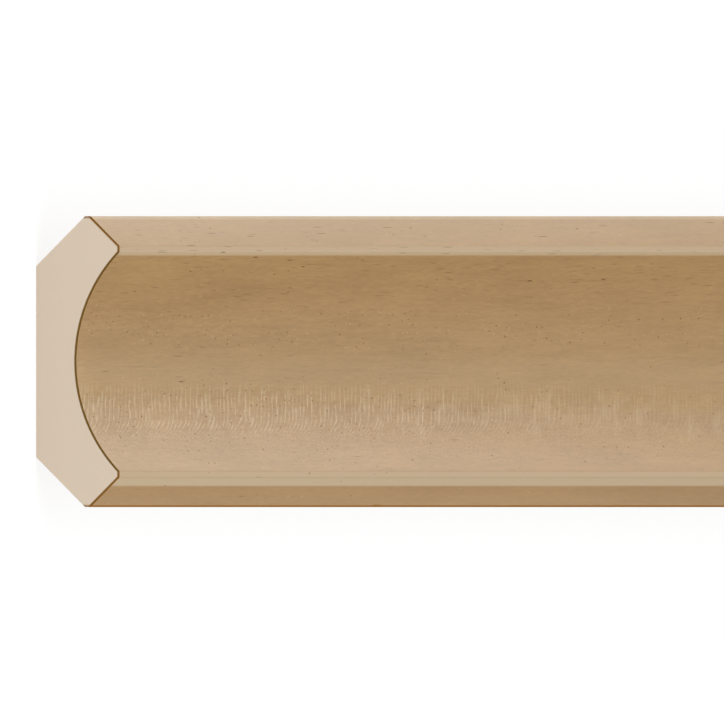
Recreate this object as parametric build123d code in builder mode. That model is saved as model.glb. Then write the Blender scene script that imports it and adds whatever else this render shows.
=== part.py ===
from build123d import *

import os

# Cornice moulding: one straight length of machined wood, square-cut at both ends.
# It lies on its flat back with the cove facing up. X runs along the length, Y across
# the face and Z through the thickness. The origin is the middle of the back.

# Driving dimensions, in millimetres
LENGTH = 2400.0  # one stock length
FACE_WIDTH = 70.0  # across the face, from edge to edge
THICKNESS = 20.5  # from the back to the noses
BEVEL_LEG = 12.0  # each leg of the 45 degree bevels that seat on wall and ceiling
EDGE_FLAT = 1.4  # thin flat edge between a bevel and its fascia
NOSE_FLAT = 1.6  # flat top of each nose, between fascia and cove
COVE_DEPTH = 10.6  # how far the round cove sinks below the noses
NOSE_ROUND = 0.6  # eased corners of the noses
EDGE_ROUND = 1.0  # eased corner between a fascia and its edge

# Places on the section, measured out from its centre line and up from the back
half_width = FACE_WIDTH / 2
back_half = half_width - BEVEL_LEG
fascia_foot = BEVEL_LEG + EDGE_FLAT
fascia_leg = THICKNESS - fascia_foot  # the fascias slope at 45 degrees
nose_outer = half_width - fascia_leg
nose_inner = nose_outer - NOSE_FLAT
cove_floor = THICKNESS - COVE_DEPTH

with BuildPart() as cornice_moulding:
    with BuildSketch(Plane.YZ.offset(-LENGTH / 2)) as section:
        with BuildLine():
            # One side, from the back corner up the bevel, edge and fascia to the nose
            side = Polyline(
                (back_half, 0),
                (half_width, BEVEL_LEG),
                (half_width, fascia_foot),
                (nose_outer, THICKNESS),
                (nose_inner, THICKNESS),
            )
            mirror(side, about=Plane.YZ)
            Line((-back_half, 0), (back_half, 0))
            ThreePointArc((nose_inner, THICKNESS), (0, cove_floor), (-nose_inner, THICKNESS))
        make_face()
        # Rows of corners from the back up: back, bevel tops, fascia feet, noses
        fillet(section.vertices().group_by(Axis.Y)[-1], NOSE_ROUND)
        fillet(section.vertices().group_by(Axis.Y)[2], EDGE_ROUND)
    extrude(amount=LENGTH)

cornice_moulding.part.label = "cornice_moulding"
os.makedirs("parts", exist_ok=True)
export_step(cornice_moulding.part, "parts/cornice_moulding.step")
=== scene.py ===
import logging
import math
from dataclasses import dataclass
from enum import Enum

import bpy
from mathutils import Matrix, Vector


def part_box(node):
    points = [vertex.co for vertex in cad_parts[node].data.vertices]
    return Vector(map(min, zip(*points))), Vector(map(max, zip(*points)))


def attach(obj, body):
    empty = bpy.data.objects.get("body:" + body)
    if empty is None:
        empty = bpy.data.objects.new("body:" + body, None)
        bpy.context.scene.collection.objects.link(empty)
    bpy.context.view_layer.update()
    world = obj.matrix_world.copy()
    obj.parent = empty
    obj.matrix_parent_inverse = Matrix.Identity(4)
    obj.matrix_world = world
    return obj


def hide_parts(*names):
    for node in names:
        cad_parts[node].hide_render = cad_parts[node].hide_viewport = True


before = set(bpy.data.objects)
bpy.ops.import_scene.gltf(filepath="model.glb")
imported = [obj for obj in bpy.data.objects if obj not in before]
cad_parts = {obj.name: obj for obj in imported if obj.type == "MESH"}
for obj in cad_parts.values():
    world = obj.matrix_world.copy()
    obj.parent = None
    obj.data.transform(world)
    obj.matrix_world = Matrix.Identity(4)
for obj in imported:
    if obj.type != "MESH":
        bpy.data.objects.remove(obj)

log = logging.getLogger("cornice_moulding")

# Short names for the type hints. A node stands for its first output.
Source = bpy.types.Node | bpy.types.NodeSocket
Number = float | Source
Tree = bpy.types.NodeTree
Outputs = bpy.types.NodeOutputs
Place = tuple[float, float, float]

MM = 0.001
NODE = "cornice_moulding"
BODY = "root"

# Blender's names for the kinds of node that are used most
MATH = "ShaderNodeMath"
MAP_RANGE = "ShaderNodeMapRange"
VECTOR_MATH = "ShaderNodeVectorMath"
COMBINE_XYZ = "ShaderNodeCombineXYZ"
SEPARATE_XYZ = "ShaderNodeSeparateXYZ"

# Sockets of the colour Mix node, which has one set for each kind of data
MIX_FACTOR, MIX_A, MIX_B, MIX_RESULT = 0, 6, 7, 2


def linear(hex_colour: str) -> tuple[float, float, float, float]:
    """Turn an sRGB hex colour into linear light.

    Args:
        hex_colour: Colour such as "#A5845B".

    Returns:
        Red, green, blue and an alpha of 1, in linear light.
    """
    channels = [int(hex_colour[i : i + 2], 16) / 255 for i in (1, 3, 5)]
    red, green, blue = (c / 12.92 if c <= 0.04045 else ((c + 0.055) / 1.055) ** 2.4 for c in channels)
    return red, green, blue, 1.0


def connect(tree: Tree, node: bpy.types.Node, inputs: dict[str | int, object]) -> None:
    """Give a node's inputs their values and links.

    Args:
        tree: Node tree that holds the node.
        node: The node.
        inputs: A value, a node or an output socket for each input, by name or position.
    """
    for key, value in inputs.items():
        if isinstance(value, bpy.types.Node):
            value = value.outputs[0]
        if isinstance(value, bpy.types.NodeSocket):
            tree.links.new(value, node.inputs[key])
        else:
            node.inputs[key].default_value = value


def add_node(
    tree: Tree,
    kind: str,
    inputs: dict[str | int, object] | None = None,
    **settings: object,
) -> bpy.types.Node:
    """Add a node with its settings, values and links.

    Args:
        tree: Node tree that takes the node.
        kind: Blender's name for the kind of node.
        inputs: A value, a node or an output socket for each input, by name or position.
        **settings: Attributes to set on the node first.

    Returns:
        The new node.
    """
    node = tree.nodes.new(kind)
    for name, value in settings.items():
        setattr(node, name, value)
    connect(tree, node, inputs or {})
    return node


class Zone(Enum):
    """Surfaces of the moulding that have a finish of their own."""

    FACE = "face"
    BACK = "back"
    END = "end"


# Material for each zone
Finishes = dict[Zone, bpy.types.Material]


@dataclass(frozen=True)
class Section:
    """Section of the moulding, in metres, as the part's solid has it.

    It is measured out from the centre line and up from the back.
    """

    face_width: float
    thickness: float
    bevel_leg: float = 12.0 * MM
    edge_flat: float = 1.4 * MM
    nose_flat: float = 1.6 * MM
    cove_depth: float = 10.6 * MM
    nose_round: float = 0.6 * MM
    edge_round: float = 1.0 * MM
    arris: float = 0.2 * MM

    @property
    def half_width(self) -> float:
        """Half of the face's width."""
        return self.face_width / 2

    @property
    def back_half(self) -> float:
        """Half of the flat back's width."""
        return self.half_width - self.bevel_leg

    @property
    def fascia_foot(self) -> float:
        """Height at which a fascia leaves its edge."""
        return self.bevel_leg + self.edge_flat

    @property
    def nose_outer(self) -> float:
        """Where a fascia, sloped at 45 degrees, meets its nose."""
        return self.half_width - (self.thickness - self.fascia_foot)

    @property
    def nose_inner(self) -> float:
        """Where a nose meets the cove."""
        return self.nose_outer - self.nose_flat

    @property
    def cove_radius(self) -> float:
        """Radius of the cove, from its chord and its depth."""
        return (self.nose_inner**2 + self.cove_depth**2) / (2 * self.cove_depth)

    @property
    def cove_centre(self) -> float:
        """Height of the cove's centre above the back."""
        return self.thickness - self.cove_depth + self.cove_radius

    @property
    def cove_half_angle(self) -> float:
        """Half of the angle that the cove's arc spans."""
        return math.asin(self.nose_inner / self.cove_radius)


@dataclass(frozen=True)
class Streaks:
    """Soft streaks along the grain, in millimetres. The seed sets one pattern apart from another."""

    length: float
    width: float
    seed: float
    detail: float = 2.0


@dataclass(frozen=True)
class Patches:
    """Streaks that fade in as patches, between two of their strengths."""

    streaks: Streaks
    low: float
    high: float
    least: float = 0.0
    most: float = 1.0


@dataclass(frozen=True)
class Flecks:
    """Small marks along the grain, in millimetres, with a seed like that of streaks."""

    length: float
    width: float
    seed: float


@dataclass(frozen=True)
class Band:
    """Strip along the length: its edges across the face, and how softly they fade, in millimetres."""

    low: float
    high: float
    soft: float


@dataclass(frozen=True)
class PaintedStrip:
    """A colour painted on one band of the face, as painted shade, sheen or highlight."""

    colour: str
    band: Band
    amount: float = 1.0


@dataclass(frozen=True)
class Spread:
    """Where marks are found: in patches, in bands that have a share each, and a few elsewhere."""

    patches: Patches
    bands: tuple[tuple[Band, float], ...]
    strays: float = 0.04


class WoodTree:
    """Node tree of one wood material, with patterns measured in millimetres.

    Attributes:
        material: The material.
        tree: Its node tree.
        place: Place on the wood: along the length, across the face and up from the back.
        grain: The same place, swayed a little, so that the grain does not run dead straight.
        along: Place along the length.
        across: Place across the face.
        height: Height above the back.
    """

    # The grain wanders in long waves, and by a share of that in short ones
    LONG_WAVES = Streaks(230.0, 46.0, 5.3)
    SHORT_WAVES = Streaks(13.0, 5.0, 6.7)
    SHORT_SHARE = 0.15

    # How far a seed shifts a pattern across the grain, for each step along it
    SEED_ACROSS = 1.7

    # A fleck's radius as a share of its cell, its dark core as a share of that, and the faintest fleck
    FLECK_RADIUS = 0.19
    FLECK_CORE = 0.3
    FLECK_FAINTEST = 0.25

    def __init__(self, name: str, sway: float) -> None:
        """Start the material.

        Args:
            name: Name of the material.
            sway: How far the grain wanders across the face, in millimetres.
        """
        self.material = bpy.data.materials.new(name)
        self.material.use_nodes = True
        self.tree = self.material.node_tree
        self.tree.nodes.clear()
        spot = add_node(self.tree, "ShaderNodeTexCoord").outputs["Object"]
        self.place = add_node(self.tree, VECTOR_MATH, {0: spot, "Scale": 1 / MM}, operation="SCALE")
        parts = add_node(self.tree, SEPARATE_XYZ, {0: self.place}).outputs
        self.along = parts["X"]
        self.across = parts["Y"]
        self.height = parts["Z"]
        drift = self.gather(
            0.0,
            (self.streaks(self.LONG_WAVES, self.place), sway),
            (self.streaks(self.SHORT_WAVES, self.place), self.SHORT_SHARE * sway),
        )
        shift = add_node(self.tree, COMBINE_XYZ, {"Y": drift})
        self.grain = add_node(self.tree, VECTOR_MATH, {0: self.place, 1: shift}, operation="ADD")

    def stretch(self, pattern: Streaks | Flecks, spot: Source, cell: float = 1.0) -> Source:
        """Measure a place in a pattern's own lengths and widths, shifted by its seed.

        Args:
            pattern: The pattern.
            spot: Place on the wood.
            cell: Size of a cell, where a mark fills only part of its own.

        Returns:
            The place, counted in cells of the pattern.
        """
        scale = (1 / (pattern.length * cell), 1 / (pattern.width * cell), 0.0)
        shift = (pattern.seed, pattern.seed * self.SEED_ACROSS, 0.0)
        inputs = {"Vector": spot, "Location": shift, "Scale": scale}
        return add_node(self.tree, "ShaderNodeMapping", inputs)

    def streaks(self, pattern: Streaks, spot: Source | None = None) -> Source:
        """Draw soft streaks along the grain.

        Args:
            pattern: Size and seed of the streaks.
            spot: Place to draw at, if it is not the wandering grain.

        Returns:
            Strength from 0 to 1, about 0.5 on average.
        """
        where = self.stretch(pattern, self.grain if spot is None else spot)
        inputs = {"Vector": where, "Scale": 1.0, "Detail": pattern.detail}
        return add_node(self.tree, "ShaderNodeTexNoise", inputs, noise_dimensions="2D")

    def patches(self, pattern: Patches, spot: Source | None = None) -> Source:
        """Draw patches along the grain.

        Args:
            pattern: The streaks, and how they fade in.
            spot: Place to draw at, if it is not the wandering grain.

        Returns:
            Strength, from the pattern's least to its most.
        """
        inputs = {
            "Value": self.streaks(pattern.streaks, spot),
            "From Min": pattern.low,
            "From Max": pattern.high,
            "To Min": pattern.least,
            "To Max": pattern.most,
        }
        return add_node(self.tree, MAP_RANGE, inputs)

    def flecks(self, pattern: Flecks, share: Number) -> Source:
        """Scatter flecks, each in a cell of its own.

        Args:
            pattern: Size and seed of the flecks.
            share: Share of the cells that hold a fleck.

        Returns:
            Strength from 0 to 1, and 0 between the flecks.
        """
        where = self.stretch(pattern, self.grain, cell=1 / (2 * self.FLECK_RADIUS))
        inputs = {"Vector": where, "Scale": 1.0}
        cells = add_node(self.tree, "ShaderNodeTexVoronoi", inputs, voronoi_dimensions="2D").outputs
        core = self.FLECK_RADIUS * self.FLECK_CORE
        inputs = {"Value": cells["Distance"], "From Min": self.FLECK_RADIUS, "From Max": core}
        shape = add_node(self.tree, MAP_RANGE, inputs, interpolation_type="SMOOTHSTEP")
        luck = add_node(self.tree, "ShaderNodeSeparateColor", {0: cells["Color"]}).outputs
        there = add_node(self.tree, MATH, {0: luck[0], 1: share}, operation="LESS_THAN")
        depth = add_node(self.tree, MAP_RANGE, {"Value": luck[1], "To Min": self.FLECK_FAINTEST})
        kept = add_node(self.tree, MATH, {0: shape, 1: there}, operation="MULTIPLY")
        return add_node(self.tree, MATH, {0: kept, 1: depth}, operation="MULTIPLY")

    def band(self, strip: Band) -> Source:
        """Mark a band that runs along the length.

        Args:
            strip: The band.

        Returns:
            Strength, 1 inside the band and 0 outside.
        """
        fade = strip.soft / 2
        edges = ((strip.low - fade, strip.low + fade), (strip.high + fade, strip.high - fade))
        rise, fall = (
            add_node(
                self.tree,
                MAP_RANGE,
                {"Value": self.across, "From Min": outside, "From Max": inside},
                interpolation_type="SMOOTHSTEP",
            )
            for outside, inside in edges
        )
        return add_node(self.tree, MATH, {0: rise, 1: fall}, operation="MULTIPLY")

    def share(self, spread: Spread) -> Source:
        """Work out how thickly marks lie.

        Args:
            spread: Where the marks are found.

        Returns:
            Share of the cells that hold a mark.
        """
        bands = [(self.band(strip), part) for strip, part in spread.bands]
        zone = self.gather(spread.strays, *bands, centred=False)
        crowd = self.patches(spread.patches)
        return add_node(self.tree, MATH, {0: crowd, 1: zone}, operation="MULTIPLY")

    def gather(self, base: Number, *weighted: tuple[Source, float], centred: bool = True) -> Source:
        """Add patterns to a base value, each by its own weight.

        Args:
            base: Value to start from.
            *weighted: Each pattern with its weight.
            centred: Count each pattern from its average of 0.5, so that the base stays the average.

        Returns:
            The sum.
        """
        total = base
        for pattern, weight in weighted:
            if centred:
                pattern = add_node(self.tree, MATH, {0: pattern, 1: 0.5}, operation="SUBTRACT")
            total = add_node(self.tree, MATH, {0: pattern, 1: weight, 2: total}, operation="MULTIPLY_ADD")
        return total

    def lay(self, under: Source | tuple, over: str, mask: Source, amount: float = 1.0) -> Source:
        """Lay one colour over another.

        Args:
            under: Colour below.
            over: Colour on top, as sRGB hex.
            mask: Where the colour on top shows.
            amount: How strongly it shows.

        Returns:
            The mixed colour.
        """
        share = add_node(self.tree, MATH, {0: mask, 1: amount}, operation="MULTIPLY")
        inputs = {MIX_FACTOR: share, MIX_A: under, MIX_B: linear(over)}
        return add_node(self.tree, "ShaderNodeMix", inputs, data_type="RGBA").outputs[MIX_RESULT]

    def finish(
        self,
        colour: Source,
        roughness: Number,
        height: Source,
        relief: float,
        specular: Number = 0.5,
        sheen: str = "#FFFFFF",
    ) -> bpy.types.Material:
        """Close the tree with its shader.

        Args:
            colour: Colour of the wood.
            roughness: Roughness of its surface.
            height: Pattern of its relief.
            relief: Depth of the relief, in metres.
            specular: Strength of its reflection, 0.5 for plain lacquer.
            sheen: Tint of its reflection, as sRGB hex.

        Returns:
            The finished material.
        """
        bump = add_node(self.tree, "ShaderNodeBump", {"Height": height, "Distance": relief})
        inputs = {
            "Base Color": colour,
            "Roughness": roughness,
            "Specular IOR Level": specular,
            "Specular Tint": linear(sheen),
            "Normal": bump,
        }
        shader = add_node(self.tree, "ShaderNodeBsdfPrincipled", inputs)
        add_node(self.tree, "ShaderNodeOutputMaterial", {"Surface": shader})
        return self.material


@dataclass(frozen=True)
class CurlyFigure:
    """Curly figure of the hardwood: fine light ripples across the grain, low in the cove.

    The ripples lean along the length as the cove rises, bend over at their foot, break into
    grains below it, and come and go along the length. Sizes are in millimetres.
    """

    pitch: float = 4.6
    lean: float = 4.7
    bend_start: float = -13.5
    bend: float = 0.12
    swell_length: float = 1400.0
    swell_start: float = -1100.0
    swell_middle: float = 0.65
    swell_reach: float = 0.35
    wander: tuple[tuple[Streaks, float], ...] = (
        (Streaks(28.0, 90.0, 18.3), 2.4),
        (Streaks(16.0, 5.0, 28.3), 0.9),
    )
    crest_foot: float = 0.3
    crest_top: float = 0.9
    rough: Streaks = Streaks(2.0, 2.6, 24.1, detail=1.0)
    rough_weight: float = 1.6
    pieces: Patches = Patches(Streaks(8.0, 3.0, 19.9), 0.32, 0.56)
    shimmer: Patches = Patches(Streaks(15.0, 8.0, 29.9), 0.5, 0.75, most=0.3)
    ripple_band: Band = Band(-18.0, -6.5, 6.0)
    grains: Streaks = Streaks(2.4, 0.45, 25.7, detail=1.0)
    grain_band: Band = Band(-23.5, -14.0, 6.0)

    def swell(self, wood: WoodTree) -> Source:
        """Let the figure come and go along the length.

        Args:
            wood: Tree of the material.

        Returns:
            Strength of the figure, from 0.3 to 1.
        """
        past = add_node(wood.tree, MATH, {0: wood.along, 1: self.swell_start}, operation="SUBTRACT")
        turn = add_node(wood.tree, MATH, {0: past, 1: math.tau / self.swell_length}, operation="MULTIPLY")
        wave = add_node(wood.tree, MATH, {0: turn}, operation="COSINE")
        return wood.gather(self.swell_middle, (wave, self.swell_reach), centred=False)

    def slant(self, wood: WoodTree) -> Source:
        """Place on the wood as the figure sees it, leaning along the length as the cove rises."""
        along = wood.gather(wood.along, (wood.height, self.lean), centred=False)
        return add_node(wood.tree, COMBINE_XYZ, {"X": along, "Y": wood.across})

    def specks(self, wood: WoodTree, slant: Source) -> Source:
        """Draw the grains that the figure breaks into, below the ripples.

        Args:
            wood: Tree of the material.
            slant: Leaning place on the wood.

        Returns:
            Strength about 0, and 0 outside the grains' band.
        """
        grains = wood.gather(0.0, (wood.streaks(self.grains, slant), 1.0))
        zone = wood.band(self.grain_band)
        return add_node(wood.tree, MATH, {0: grains, 1: zone}, operation="MULTIPLY")

    def ripple(self, wood: WoodTree, slant: Source, swell: Source) -> Source:
        """Draw the light ripples.

        Args:
            wood: Tree of the material.
            slant: Leaning place on the wood.
            swell: Strength of the figure along the length.

        Returns:
            Strength from 0 to 1, and 0 outside the ripples' band.
        """
        tree = wood.tree
        below = add_node(tree, MATH, {0: self.bend_start, 1: wood.across}, operation="SUBTRACT")
        below = add_node(tree, MATH, {0: below, 1: 0.0}, operation="MAXIMUM")
        bent = add_node(tree, MATH, {0: below, 1: 2.0}, operation="POWER")
        reach = add_node(tree, SEPARATE_XYZ, {0: slant}).outputs["X"]
        turns = wood.gather(
            0.0,
            (reach, 1 / self.pitch),
            (bent, self.bend),
            *((wood.streaks(streaks, slant), weight) for streaks, weight in self.wander),
            centred=False,
        )
        angle = add_node(tree, MATH, {0: turns, 1: math.tau}, operation="MULTIPLY")
        wave = add_node(tree, MATH, {0: angle}, operation="SINE")
        inputs = {"Value": wave, "From Min": self.crest_foot, "To Max": self.crest_top}
        crest = add_node(tree, MAP_RANGE, inputs)
        lines = wood.gather(crest, (wood.streaks(self.rough, slant), self.rough_weight))
        pieces = wood.patches(self.pieces, slant)
        sharp = add_node(tree, MATH, {0: pieces, 1: swell}, operation="MULTIPLY")
        drawn = add_node(tree, MATH, {0: lines, 1: sharp}, operation="MULTIPLY")
        shimmer = wood.patches(self.shimmer, slant)
        drawn = add_node(tree, MATH, {0: drawn, 1: shimmer}, operation="ADD")
        zone = wood.band(self.ripple_band)
        return add_node(tree, MATH, {0: drawn, 1: zone}, operation="MULTIPLY", use_clamp=True)


# Patches in which small marks crowd together, and the part of the upper fascia that has some
MARK_PATCHES = Patches(Streaks(60.0, 9.0, 12.7), 0.38, 0.65, least=0.1)
MARKED_FASCIA = Band(28.0, 34.2, 0.6)


@dataclass(frozen=True)
class StainedFace:
    """Stained and satin-lacquered hardwood, machined: brown, with long dark pores and a soft sheen.

    Pores are about 0.25 mm wide in such wood. They and the other marks are drawn a little
    coarser, 0.3 to 0.5 mm, because finer ones would not show.
    """

    section: Section
    figure: CurlyFigure = CurlyFigure()
    name: str = "stained_lacquered_hardwood"
    sway: float = 2.4

    # Colours of the wood and its marks, and of the painted shade, sheen and highlights on some strips
    deep: str = "#866538"
    pale: str = "#C09B68"
    pore: str = "#4E3718"
    dot: str = "#764A12"
    line: str = "#7A5226"
    light: str = "#DCC8A4"
    # Painted colours: shade along the lower edge, sheen on the noses and on the top of the lower fascia,
    # shade on the lower fascia, and a darker, warmer shade under the upper fascia's sheen
    painted_edge_shade: str = "#8A5C1C"
    painted_nose_sheen: str = "#B69D7D"
    painted_low_rim_sheen: str = "#B29B7B"
    painted_lower_shade: str = "#876129"
    painted_upper_shade: str = "#946D2E"
    sheen: str = "#FFF9DA"

    # Shade between deep and pale, with what varies it and by how much
    shade: float = 0.46
    shade_streaks: tuple[tuple[Streaks, float], ...] = (
        (Streaks(420.0, 7.0, 1.1), 0.2),
        (Streaks(110.0, 9.0, 22.9), 0.3),
        (Streaks(60.0, 1.1, 2.3, detail=1.0), 0.2),
        (Streaks(10.0, 0.42, 9.1, detail=1.0), 0.36),
    )
    # The first band is painted sheen, a paler tone where the cove begins to turn to the light; the second
    # darkens the tone where the ripples lie
    tone_and_sheen_bands: tuple[tuple[Band, float], ...] = (
        (Band(-9.0, 0.0, 8.0), 0.06),
        (Band(-18.0, -11.0, 6.0), -0.06),
    )
    speck_shade: float = 0.55
    # Painted sheen: light laid over the same part of the cove
    painted_sheen_band: Band = Band(-8.0, 0.0, 8.0)
    painted_sheen_amount: float = 0.09
    ripple_amount: float = 0.44

    # Long pores, thickest in the upper part of the cove, with a few bold ones among them
    pore_spread: Spread = Spread(
        Patches(Streaks(75.0, 7.0, 3.9), 0.42, 0.62, least=0.08),
        ((Band(14.0, 26.5, 6.0), 1.15), (Band(27.5, 35.0, 1.0), 0.15)),
    )
    fine_pores: Flecks = Flecks(16.0, 0.3, 4.7)
    fine_depth: float = 0.6
    bold_pores: Flecks = Flecks(8.0, 0.42, 21.3)
    bold_share: float = 0.09
    pore_amount: float = 0.85

    # Brown dots, thickest in the middle of the cove and among the ripples
    dots: Flecks = Flecks(2.6, 0.52, 13.3)
    dot_spread: Spread = Spread(
        MARK_PATCHES,
        (
            (Band(3.5, 12.0, 4.0), 0.5),
            (Band(-15.0, -4.0, 3.0), 0.4),
            (Band(-26.0, -15.0, 3.0), 0.3),
            (MARKED_FASCIA, 0.1),
        ),
    )
    dot_amount: float = 0.9

    # Light specks, a few long lines, and dashes on the upper fascia
    specks: Flecks = Flecks(2.0, 0.45, 14.9)
    speck_spread: Spread = Spread(
        MARK_PATCHES, ((Band(3.5, 12.0, 4.0), 0.5), (Band(-20.0, -5.0, 4.0), 0.2))
    )
    speck_amount: float = 0.42
    lines: Flecks = Flecks(64.0, 0.3, 17.7)
    line_share: float = 0.014
    line_amount: float = 0.6
    dashes: Flecks = Flecks(9.0, 0.36, 31.1)
    dash_spread: Spread = Spread(MARK_PATCHES, ((MARKED_FASCIA, 0.22),), strays=0.0)
    dash_amount: float = 0.7

    # Surface of the lacquer, duller on the two fascias
    roughness: float = 0.28
    pore_roughness: float = 0.3
    specular: float = 0.31
    upper_specular: float = 0.1
    lower_specular: float = 0.03
    fascia_soft: float = 0.4
    relief: float = 0.006 * MM

    # Painted shade: a dark line along the lower edge
    edge_shade_width: float = 0.45
    edge_shade_soft: float = 0.2
    edge_shade_amount: float = 0.95

    # How far a band reaches past the edge of the face
    past_edge: float = 1.0

    def material(self) -> bpy.types.Material:
        """Make the face's material.

        Returns:
            The new material.
        """
        wood = WoodTree(self.name, self.sway)
        swell = self.figure.swell(wood)
        colour = self.bare_colour(wood, swell)
        # Lay the strips of painted shade, sheen and highlight
        for painted_strip in self.painted_light_and_shade():
            colour = wood.lay(colour, painted_strip.colour, wood.band(painted_strip.band), painted_strip.amount)
        pores = self.pores(wood)
        colour = wood.lay(colour, self.pore, pores, self.pore_amount)
        dots = wood.flecks(self.dots, self.swelling_share(wood, self.dot_spread, swell))
        colour = wood.lay(colour, self.dot, dots, self.dot_amount)
        colour = self.marks(wood, colour, swell)
        # Painted shade: a dark line along the lower edge
        edge = self.section.half_width / MM
        run = wood.band(Band(-edge - self.past_edge, -edge + self.edge_shade_width, self.edge_shade_soft))
        colour = wood.lay(colour, self.painted_edge_shade, run, self.edge_shade_amount)
        roughness = wood.gather(self.roughness, (pores, self.pore_roughness), centred=False)
        # The lacquer does not shine in the pores, the dots or the painted shade along the lower edge
        specular = self.reflection(wood, pores, dots, run)
        height = wood.gather(0.0, (pores, -1.0), centred=False)
        return wood.finish(colour, roughness, height, self.relief, specular, self.sheen)

    def bare_colour(self, wood: WoodTree, swell: Source) -> Source:
        """Mix the colour of the stained wood with its figure, before any mark.

        Args:
            wood: Tree of the material.
            swell: Strength of the figure along the length.

        Returns:
            The colour.
        """
        streaks = [(wood.streaks(pattern), weight) for pattern, weight in self.shade_streaks]
        shade = wood.gather(self.shade, *streaks)
        slant = self.figure.slant(wood)
        shade = wood.gather(
            shade,
            (self.figure.specks(wood, slant), self.speck_shade),
            *((wood.band(strip), weight) for strip, weight in self.tone_and_sheen_bands),
            centred=False,
        )
        colour = wood.lay(linear(self.deep), self.pale, shade)
        # Painted sheen where the cove begins to turn to the light
        colour = wood.lay(colour, self.light, wood.band(self.painted_sheen_band), self.painted_sheen_amount)
        return wood.lay(colour, self.light, self.figure.ripple(wood, slant, swell), self.ripple_amount)

    def painted_light_and_shade(self) -> tuple[PaintedStrip, ...]:
        """List the strips of painted shade, sheen and highlight, in the order in which they are laid.

        Their edges are set off from the section's corners, in millimetres.

        Returns:
            Painted shade on the two fascias, warmer under the upper one's sheen; painted sheen on the
            noses, the rim of the upper nose and the top of the lower fascia; and a painted highlight on
            the upper edge.
        """
        inner = self.section.nose_inner / MM
        outer = self.section.nose_outer / MM
        edge = self.section.half_width / MM
        into_cove = inner - 0.75
        return (
            # Painted shade, darker and warmer, under the upper fascia's sheen
            PaintedStrip(self.painted_upper_shade, Band(outer, edge - 0.6, 0.4), 0.4),
            # Painted shade on the lower fascia
            PaintedStrip(self.painted_lower_shade, Band(-edge, -outer, 0.6), 0.4),
            # Painted sheen on the noses, the rim of the upper nose and the top of the lower fascia
            PaintedStrip(self.painted_nose_sheen, Band(into_cove, outer - 0.1, 0.6)),
            PaintedStrip(self.painted_nose_sheen, Band(-outer - 0.2, -inner - 0.1, 0.6)),
            PaintedStrip(self.light, Band(into_cove, inner + 0.2, 0.4), 0.15),
            PaintedStrip(self.painted_low_rim_sheen, Band(-outer - 2.0, -outer, 0.6)),
            # Painted highlight along the upper edge
            PaintedStrip(self.light, Band(edge - 0.8, edge + self.past_edge, 0.3), 0.12),
        )

    def pores(self, wood: WoodTree) -> Source:
        """Scatter the long pores.

        Args:
            wood: Tree of the material.

        Returns:
            Strength, 1 in the darkest pores.
        """
        share = wood.share(self.pore_spread)
        fine = wood.flecks(self.fine_pores, share)
        rare = add_node(wood.tree, MATH, {0: share, 1: self.bold_share}, operation="MULTIPLY")
        bold = wood.flecks(self.bold_pores, rare)
        return wood.gather(bold, (fine, self.fine_depth), centred=False)

    def swelling_share(self, wood: WoodTree, spread: Spread, swell: Source) -> Source:
        """Share of the cells that hold a mark, where marks come and go with the figure."""
        share = wood.share(spread)
        return add_node(wood.tree, MATH, {0: share, 1: swell}, operation="MULTIPLY")

    def marks(self, wood: WoodTree, colour: Source, swell: Source) -> Source:
        """Lay the light specks, the few long lines and the fascia's dashes over the wood.

        Args:
            wood: Tree of the material.
            colour: Colour of the wood.
            swell: Strength of the figure along the length.

        Returns:
            The marked colour.
        """
        specks = wood.flecks(self.specks, self.swelling_share(wood, self.speck_spread, swell))
        colour = wood.lay(colour, self.light, specks, self.speck_amount)
        lines = wood.flecks(self.lines, self.line_share)
        colour = wood.lay(colour, self.line, lines, self.line_amount)
        dashes = wood.flecks(self.dashes, wood.share(self.dash_spread))
        return wood.lay(colour, self.dot, dashes, self.dash_amount)

    def reflection(self, wood: WoodTree, *open_marks: Source) -> Source:
        """Let the lacquer shine, less on the fascias and not in marks that it does not fill.

        Args:
            wood: Tree of the material.
            *open_marks: The marks that break the lacquer.

        Returns:
            Strength of the reflection.
        """
        outer = self.section.nose_outer / MM
        edge = self.section.half_width / MM + self.past_edge
        upper = wood.band(Band(outer, edge, self.fascia_soft))
        lower = wood.band(Band(-edge, -outer, self.fascia_soft))
        lacquer = wood.gather(
            self.specular,
            (upper, self.upper_specular - self.specular),
            (lower, self.lower_specular - self.specular),
            centred=False,
        )
        closed = wood.gather(1.0, *((mark, -1.0) for mark in open_marks), centred=False)
        return add_node(wood.tree, MATH, {0: lacquer, 1: closed}, operation="MULTIPLY", use_clamp=True)


@dataclass(frozen=True)
class PlanedBack:
    """Bare hardwood as the planer left it: pale, dull and straight-grained."""

    name: str = "planed_bare_hardwood"
    sway: float = 2.4
    deep: str = "#B79A74"
    pale: str = "#D9C6AA"
    pore: str = "#8A6A44"
    shade: float = 0.55
    clouds: Streaks = Streaks(420.0, 7.0, 6.1)
    cloud_weight: float = 0.6
    fibres: Streaks = Streaks(60.0, 0.5, 7.3, detail=3.0)
    fibre_weight: float = 0.5
    fibre_relief: float = 0.6
    pores: Flecks = Flecks(13.0, 0.42, 8.7)
    pore_share: float = 0.25
    pore_amount: float = 0.6
    roughness: float = 0.75
    relief: float = 0.05 * MM

    def material(self) -> bpy.types.Material:
        """Make the back's material.

        Returns:
            The new material.
        """
        wood = WoodTree(self.name, self.sway)
        fibres = wood.streaks(self.fibres)
        clouds = wood.streaks(self.clouds)
        shade = wood.gather(self.shade, (clouds, self.cloud_weight), (fibres, self.fibre_weight))
        colour = wood.lay(linear(self.deep), self.pale, shade)
        pores = wood.flecks(self.pores, self.pore_share)
        colour = wood.lay(colour, self.pore, pores, self.pore_amount)
        height = wood.gather(0.0, (fibres, self.fibre_relief), (pores, -1.0))
        return wood.finish(colour, self.roughness, height, self.relief)


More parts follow.
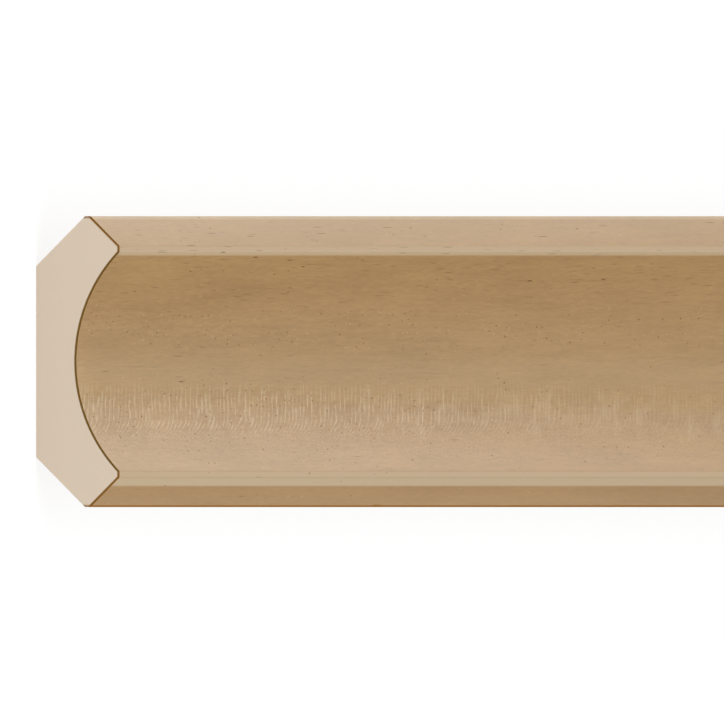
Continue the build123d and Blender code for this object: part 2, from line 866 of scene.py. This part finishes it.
@dataclass(frozen=True)
class SawnEnd:
    """Sawn and sanded end grain: pale cream and dull, with the stain seen edge-on along the face."""

    section: Section
    name: str = "sawn_hardwood_end"
    tone: str = "#D4C3AF"
    deep: str = "#C2AE96"
    stain: str = "#6C4F1A"
    thin_stain: str = "#83591F"
    rings_per_mm: float = 0.9
    ring_amount: float = 0.12
    stain_depth: float = 0.54
    stain_fade: float = 0.2
    edge_stain: float = 0.5
    bowl_soft: float = 3.0
    thin_amount: float = 0.8
    roughness: float = 0.85
    specular: float = 0.2
    relief: float = 0.01 * MM

    def material(self) -> bpy.types.Material:
        """Make the ends' material.

        Returns:
            The new material.
        """
        wood = WoodTree(self.name, sway=0.0)
        inputs = {"Vector": wood.place, "Scale": self.rings_per_mm}
        rings = add_node(wood.tree, "ShaderNodeTexNoise", inputs)
        colour = wood.lay(linear(self.tone), self.deep, rings, self.ring_amount)
        rim = self.stained_rim(wood)
        inner = self.section.nose_inner / MM
        bowl = wood.band(Band(-inner, inner, self.bowl_soft))
        outside = wood.gather(1.0, (bowl, -1.0), centred=False)
        thin = add_node(wood.tree, MATH, {0: rim, 1: outside}, operation="MULTIPLY")
        colour = wood.lay(colour, self.stain, rim)
        colour = wood.lay(colour, self.thin_stain, thin, self.thin_amount)
        return wood.finish(colour, self.roughness, rings, self.relief, self.specular)

    def stained_rim(self, wood: WoodTree) -> Source:
        """Mark the wood close under the stained surface.

        Args:
            wood: Tree of the material.

        Returns:
            Strength, 1 at the stained surface and 0 below the stain's depth.
        """
        tree = wood.tree
        s = self.section
        out = add_node(tree, MATH, {0: wood.across}, operation="ABSOLUTE")
        flat = add_node(tree, COMBINE_XYZ, {"X": wood.across, "Y": wood.height})
        centre = (0.0, s.cove_centre / MM, 0.0)
        reach = add_node(tree, VECTOR_MATH, {0: flat, 1: centre}, operation="DISTANCE").outputs["Value"]

        # Depth below the cove, the noses and the edges, and below the level of the fascias' feet
        cove, nose, edge, foot = (
            add_node(tree, MATH, {0: a, 1: b}, operation="SUBTRACT")
            for a, b in (
                (reach, s.cove_radius / MM),
                (s.thickness / MM, wood.height),
                (s.half_width / MM, out),
                (s.fascia_foot / MM, wood.height),
            )
        )
        slope = add_node(tree, MATH, {0: edge, 1: foot}, operation="ADD")
        fascia = add_node(tree, MATH, {0: slope, 1: math.sqrt(0.5)}, operation="MULTIPLY")
        near = add_node(tree, MATH, {0: cove, 1: nose}, operation="MINIMUM")
        near = add_node(tree, MATH, {0: near, 1: fascia}, operation="MINIMUM")
        bare = self.stain_depth * (1 + self.stain_fade)
        full = self.stain_depth * (1 - self.stain_fade)
        face, side = (
            add_node(
                tree,
                MAP_RANGE,
                {"Value": depth, "From Min": bare, "From Max": full, "To Max": strength},
                interpolation_type="SMOOTHSTEP",
            )
            for depth, strength in ((near, 1.0), (edge, self.edge_stain))
        )
        return add_node(tree, MATH, {0: face, 1: side}, operation="MAXIMUM")


# Corners of one side of the section, from the back up to the cove
SIDE_CORNERS = 4


@dataclass
class Moulding:
    """One straight length of moulding, swept from its section by Geometry Nodes."""

    section: Section
    length: float
    name: str = "moulded_length"
    cove_steps: int = 72
    corner_steps: int = 5
    length_steps: int = 60
    sharp_angle: float = math.radians(30)

    # A face is an end or the back where its normal passes these, along the length and upwards
    end_facing: float = 0.5
    back_facing: float = -0.35

    def sizes(self) -> dict[str, float | int]:
        """Sizes that drive the sweep, for each named input of the tree."""
        s = self.section
        return {
            "Length": self.length,
            "Half Width": s.half_width,
            "Thickness": s.thickness,
            "Back Half": s.back_half,
            "Bevel Top": s.bevel_leg,
            "Fascia Foot": s.fascia_foot,
            "Nose Outer": s.nose_outer,
            "Cove Radius": s.cove_radius,
            "Cove Centre": s.cove_centre,
            "Cove Half Angle": s.cove_half_angle,
            "Nose Round": s.nose_round,
            "Edge Round": s.edge_round,
            "Arris": s.arris,
            "Cove Steps": self.cove_steps,
            "Corner Steps": self.corner_steps,
            "Length Steps": self.length_steps,
        }

    def sweep_tree(self, finishes: Finishes) -> Tree:
        """Make the tree that draws the section, sweeps it along the length and dresses it.

        Args:
            finishes: Material for each zone.

        Returns:
            The new tree.
        """
        tree = bpy.data.node_groups.new("section_sweep", "GeometryNodeTree")
        for name, value in self.sizes().items():
            kind = "NodeSocketInt" if isinstance(value, int) else "NodeSocketFloat"
            tree.interface.new_socket(name, in_out="INPUT", socket_type=kind)
        tree.interface.new_socket("Geometry", in_out="OUTPUT", socket_type="NodeSocketGeometry")
        size = add_node(tree, "NodeGroupInput").outputs
        path = self.path(tree, size)
        outline = self.outline(tree, size)
        inputs = {"Curve": path, "Profile Curve": outline, "Fill Caps": True}
        swept = add_node(tree, "GeometryNodeCurveToMesh", inputs)
        whole = add_node(tree, "GeometryNodeRealizeInstances", {"Geometry": swept})
        dressed = self.dress(tree, whole, finishes)
        add_node(tree, "NodeGroupOutput", {"Geometry": dressed})
        return tree

    def path(self, tree: Tree, size: Outputs) -> Source:
        """Draw the straight path, from end to end.

        Args:
            tree: Tree of the sweep.
            size: The tree's named inputs.

        Returns:
            The path's curve.
        """
        half = add_node(tree, MATH, {0: size["Length"], 1: 0.5}, operation="MULTIPLY")
        minus = add_node(tree, MATH, {0: half, 1: -1.0}, operation="MULTIPLY")
        start = add_node(tree, COMBINE_XYZ, {"X": minus})
        end = add_node(tree, COMBINE_XYZ, {"X": half})
        line = add_node(tree, "GeometryNodeCurvePrimitiveLine", {"Start": start, "End": end})
        count = add_node(tree, MATH, {0: size["Length Steps"], 1: 1.0}, operation="ADD")
        return add_node(tree, "GeometryNodeResampleCurve", {"Curve": line, "Count": count}, mode="COUNT")

    def outline(self, tree: Tree, size: Outputs) -> Source:
        """Draw the closed section with its eased corners.

        Its points are counted from one back corner round to the other. The corners of the two
        sides mirror each other, and the points between them are the cove.

        Args:
            tree: Tree of the sweep.
            size: The tree's named inputs.

        Returns:
            The section's curve.
        """
        # Count each point from the nearer back corner, on whichever side it is
        index = add_node(tree, "GeometryNodeInputIndex")
        last = add_node(tree, MATH, {0: size["Cove Steps"], 1: 2.0 * SIDE_CORNERS}, operation="ADD")
        other = add_node(tree, MATH, {0: last, 1: index}, operation="SUBTRACT")
        corner = add_node(tree, MATH, {0: index, 1: other}, operation="MINIMUM")
        side = add_node(tree, MATH, {0: index, 1: other}, operation="SUBTRACT")
        side = add_node(tree, MATH, {0: side}, operation="SIGN")

        # One side's corners, from the back up, and then the cove
        places = (
            (size["Back Half"], 0.0),
            (size["Half Width"], size["Bevel Top"]),
            (size["Half Width"], size["Fascia Foot"]),
            (size["Nose Outer"], size["Thickness"]),
            self.cove_point(tree, size, index),
        )
        points = [add_node(tree, COMBINE_XYZ, {"X": out, "Y": up}) for out, up in places]
        nose_round = size["Nose Round"]
        rounds = [size["Arris"], size["Arris"], size["Edge Round"], nose_round, nose_round, 0.0]
        place = self.pick(tree, "VECTOR", corner, points)
        radius = self.pick(tree, "FLOAT", corner, rounds)

        # The sweep turns the Y of its profile downwards, so heights are drawn negative
        mirrored = add_node(tree, COMBINE_XYZ, {"X": side, "Y": -1.0, "Z": 1.0})
        place = add_node(tree, VECTOR_MATH, {0: place, 1: mirrored}, operation="MULTIPLY")
        count = add_node(tree, MATH, {0: last, 1: 1.0}, operation="ADD")
        line = add_node(tree, "GeometryNodeCurvePrimitiveLine")
        row = add_node(tree, "GeometryNodeResampleCurve", {"Curve": line, "Count": count}, mode="COUNT")
        drawn = add_node(tree, "GeometryNodeSetPosition", {"Geometry": row, "Position": place})
        closed = add_node(tree, "GeometryNodeSetSplineCyclic", {"Geometry": drawn, "Cyclic": True})
        inputs = {"Curve": closed, "Count": size["Corner Steps"], "Radius": radius, "Limit Radius": True}
        return add_node(tree, "GeometryNodeFilletCurve", inputs, mode="POLY")

    def cove_point(self, tree: Tree, size: Outputs, index: Source) -> tuple[Source, Source]:
        """Place a point of the cove by its angle from the middle of the arc.

        Args:
            tree: Tree of the sweep.
            size: The tree's named inputs.
            index: Count of the point, from one back corner round to the other.

        Returns:
            How far out from the centre line the point is, and how high above the back.
        """
        near = float(SIDE_CORNERS)
        far = add_node(tree, MATH, {0: size["Cove Steps"], 1: near}, operation="ADD")
        first = size["Cove Half Angle"]
        final = add_node(tree, MATH, {0: first, 1: -1.0}, operation="MULTIPLY")
        inputs = {"Value": index, "From Min": near, "From Max": far, "To Min": first, "To Max": final}
        angle = add_node(tree, MAP_RANGE, inputs, clamp=False)
        sine = add_node(tree, MATH, {0: angle}, operation="SINE")
        sine = add_node(tree, MATH, {0: sine}, operation="ABSOLUTE")
        cosine = add_node(tree, MATH, {0: angle}, operation="COSINE")
        out, drop = (
            add_node(tree, MATH, {0: part, 1: size["Cove Radius"]}, operation="MULTIPLY")
            for part in (sine, cosine)
        )
        height = add_node(tree, MATH, {0: size["Cove Centre"], 1: drop}, operation="SUBTRACT")
        return out, height

    def pick(self, tree: Tree, kind: str, corner: Source, values: list[Number]) -> Source:
        """Pick a value for each corner. The last one stands for all the corners after it.

        Args:
            tree: Tree of the sweep.
            kind: Blender's name for the kind of value.
            corner: Count of the corner, from the nearer back corner.
            values: A value for each corner.

        Returns:
            The value.
        """
        switch = add_node(tree, "GeometryNodeIndexSwitch", data_type=kind)
        while len(switch.index_switch_items) < len(values):
            switch.index_switch_items.new()
        within = add_node(tree, MATH, {0: corner, 1: len(values) - 1.0}, operation="MINIMUM")
        connect(tree, switch, {"Index": within} | dict(enumerate(values, start=1)))
        return switch

    def dress(self, tree: Tree, shape: Source, finishes: Finishes) -> Source:
        """Give each face its finish, by the way it points.

        Args:
            tree: Tree of the sweep.
            shape: The swept shape.
            finishes: Material for each zone.

        Returns:
            The dressed shape.
        """
        normal = add_node(tree, "GeometryNodeInputNormal")
        parts = add_node(tree, SEPARATE_XYZ, {0: normal}).outputs
        lengthwise = add_node(tree, MATH, {0: parts["X"]}, operation="ABSOLUTE")
        is_end = add_node(
            tree, "FunctionNodeCompare", {0: lengthwise, 1: self.end_facing}, operation="GREATER_THAN"
        )
        is_back = add_node(
            tree, "FunctionNodeCompare", {0: parts["Z"], 1: self.back_facing}, operation="LESS_THAN"
        )
        for zone, chosen in ((Zone.FACE, True), (Zone.BACK, is_back), (Zone.END, is_end)):
            inputs = {"Geometry": shape, "Selection": chosen, "Material": finishes[zone]}
            shape = add_node(tree, "GeometryNodeSetMaterial", inputs)
        return shape

    def build(self, finishes: Finishes) -> bpy.types.Object:
        """Sweep the length and turn it into a plain mesh.

        Args:
            finishes: Material for each zone.

        Returns:
            The moulding's object, at the origin.
        """
        source = bpy.data.objects.new(self.name, bpy.data.meshes.new(self.name))
        bpy.context.scene.collection.objects.link(source)
        tree = self.sweep_tree(finishes)
        sweep = source.modifiers.new("sweep", "NODES")
        sweep.node_group = tree
        sizes = self.sizes()
        for socket in tree.interface.items_tree:
            if socket.name in sizes:
                sweep[socket.identifier] = sizes[socket.name]
        evaluated = source.evaluated_get(bpy.context.evaluated_depsgraph_get())
        mesh = bpy.data.meshes.new_from_object(evaluated)
        source.modifiers.clear()
        source.data = mesh
        mesh.shade_smooth()
        mesh.set_sharp_from_angle(angle=self.sharp_angle)
        return source


@dataclass(frozen=True)
class PhotoCamera:
    """Camera that frames the near end as the photograph does, in parallel view."""

    frame_px: float = 724.0
    face_px: float = 291.0
    back_px: float = 36.2
    middle_px: float = 361.6
    elevation: float = math.radians(12)
    distance: float = 2.5

    def place(self, near_end: float, face_width: float) -> None:
        """Put the camera in the scene.

        The picture's up is the moulding's +Y, and its right runs up through the thickness and
        away along the length.

        Args:
            near_end: Place of the near end along X.
            face_width: Width of the face, which sets the size of a pixel.
        """
        pixel = face_width / self.face_px
        data = bpy.data.cameras.new("photo_camera")
        data.type = "ORTHO"
        data.ortho_scale = self.frame_px * pixel
        right = Vector((math.sin(self.elevation), 0.0, math.cos(self.elevation)))
        up = Vector((0.0, 1.0, 0.0))
        back = right.cross(up)
        middle = self.frame_px / 2
        aim = Vector((near_end, 0.0, 0.0))
        aim += right * (middle - self.back_px) * pixel
        aim += up * (self.middle_px - middle) * pixel
        camera = bpy.data.objects.new("photo_camera", data)
        turn = Matrix((right, up, back)).transposed().to_4x4()
        camera.matrix_world = Matrix.Translation(aim + back * self.distance) @ turn
        bpy.context.scene.collection.objects.link(camera)
        bpy.context.scene.camera = camera


@dataclass(frozen=True)
class Softbox:
    """One soft lamp."""

    name: str
    place: Place
    aim: Place
    width: float
    height: float
    power: float

    def hang(self) -> None:
        """Hang the lamp in the scene, out of the camera's sight."""
        data = bpy.data.lights.new(self.name, "AREA")
        data.shape = "RECTANGLE"
        data.size = self.width
        data.size_y = self.height
        data.energy = self.power
        lamp = bpy.data.objects.new(self.name, data)
        beam = Vector(self.aim) - Vector(self.place)
        lamp.location = self.place
        lamp.rotation_euler = beam.to_track_quat("-Z", "Y").to_euler()
        lamp.visible_camera = False
        bpy.context.scene.collection.objects.link(lamp)


# Places that the lamps are turned to
NEAR_HALF: Place = (-0.5, 0.0, 0.0)
NEAR_FACE: Place = (-0.95, 0.0, 0.01)
NEAR_END: Place = (-1.2, 0.0, 0.0)
FAR_END: Place = (1.2, 0.0, 0.0)


@dataclass(frozen=True)
class Studio:
    """Plain floor, white to the eye, and soft light, with a sheen along the +Y slopes."""

    lamps: tuple[Softbox, ...] = (
        Softbox("key_softbox", (-0.5, 1.9, 0.6), NEAR_HALF, 3.0, 0.7, 13.0),
        Softbox("fill_softbox", (-0.5, -1.8, 1.05), NEAR_HALF, 3.0, 1.0, 18.0),
        Softbox("low_sheen_card", (1.4, 0.72, 0.27), NEAR_FACE, 0.64, 0.28, 0.36),
        Softbox("high_sheen_card", (1.4, 0.57, 0.48), NEAR_FACE, 0.64, 0.36, 0.525),
        Softbox("top_sheen_card", (1.4, -0.05, 0.66), NEAR_FACE, 0.5, 0.2, 0.11),
        Softbox("near_end_high_fill", (-2.7, 1.7, 0.6), NEAR_END, 0.8, 0.8, 21.5),
        Softbox("near_end_low_fill", (-2.7, -1.7, 0.6), NEAR_END, 0.8, 0.8, 21.0),
        Softbox("far_end_fill", (2.1, 1.9, 0.8), FAR_END, 0.8, 0.8, 40.0),
    )
    floor_half: float = 6.0
    floor_gap: float = 0.1 * MM
    floor_tone: str = "#A2A2A2"
    floor_share: float = 0.6
    floor_glow: float = 1.42
    room_tone: str = "#FFFFFF"
    horizon: float = 0.08
    zenith: float = 1.22
    dim_below: float = 0.15
    bright_above: float = 0.85

    def build(self, lowest: float) -> None:
        """Make the floor, the room's light and the lamps.

        Args:
            lowest: Height of the lowest point that rests on the floor.
        """
        self.floor(lowest - self.floor_gap)
        self.world()
        for lamp in self.lamps:
            lamp.hang()

    def floor(self, height: float) -> None:
        """Lay the floor, white to the eye and with a soft shadow.

        Args:
            height: Height of the floor.
        """
        half = self.floor_half
        sides = ((-half, -half), (half, -half), (half, half), (-half, half))
        corners = [(x, y, height) for x, y in sides]
        mesh = bpy.data.meshes.new("studio_floor")
        mesh.from_pydata(corners, [], [range(len(corners))])
        floor = bpy.data.objects.new("studio_floor", mesh)
        bpy.context.scene.collection.objects.link(floor)
        made = bpy.data.materials.new("studio_paper")
        made.use_nodes = True
        tree = made.node_tree
        tree.nodes.clear()
        plain = add_node(tree, "ShaderNodeBsdfDiffuse", {"Color": linear(self.floor_tone)})
        white = add_node(tree, "ShaderNodeEmission", {"Strength": self.floor_glow})
        path = add_node(tree, "ShaderNodeLightPath").outputs
        seen = path["Is Camera Ray"]
        for way in ("Is Glossy Ray", "Is Transmission Ray"):
            seen = add_node(tree, MATH, {0: seen, 1: path[way]}, operation="MAXIMUM")
        share = add_node(tree, MATH, {0: seen, 1: self.floor_share}, operation="MULTIPLY")
        paper = add_node(tree, "ShaderNodeMixShader", {0: share, 1: plain, 2: white})
        add_node(tree, "ShaderNodeOutputMaterial", {"Surface": paper})
        mesh.materials.append(made)

    def world(self) -> None:
        """Fill the room with soft light, brightest overhead."""
        world = bpy.data.worlds.new("studio_room")
        bpy.context.scene.world = world
        world.use_nodes = True
        tree = world.node_tree
        tree.nodes.clear()
        way = add_node(tree, "ShaderNodeTexCoord").outputs["Generated"]
        up = add_node(tree, SEPARATE_XYZ, {0: way}).outputs["Z"]
        inputs = {
            "Value": up,
            "From Min": self.dim_below,
            "From Max": self.bright_above,
            "To Min": self.horizon,
            "To Max": self.zenith,
        }
        level = add_node(tree, MAP_RANGE, inputs, interpolation_type="SMOOTHSTEP")
        sky = add_node(tree, "ShaderNodeBackground", {"Color": linear(self.room_tone), "Strength": level})
        add_node(tree, "ShaderNodeOutputWorld", {"Surface": sky})


def main() -> None:
    """Build the moulding and its studio."""
    logging.basicConfig(level=logging.INFO)
    low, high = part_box(NODE)
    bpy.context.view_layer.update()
    section = Section(face_width=high.y - low.y, thickness=high.z - low.z)
    finishes = {
        Zone.FACE: StainedFace(section).material(),
        Zone.BACK: PlanedBack().material(),
        Zone.END: SawnEnd(section).material(),
    }
    moulding = Moulding(section, length=high.x - low.x)
    piece = moulding.build(finishes)
    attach(piece, BODY)
    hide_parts(NODE)
    log.info("%s: %d faces", piece.name, len(piece.data.polygons))
    Studio().build(low.z)
    PhotoCamera().place(low.x, section.face_width)
    bpy.context.scene.view_settings.view_transform = "Standard"


if __name__ == "__main__":
    main()
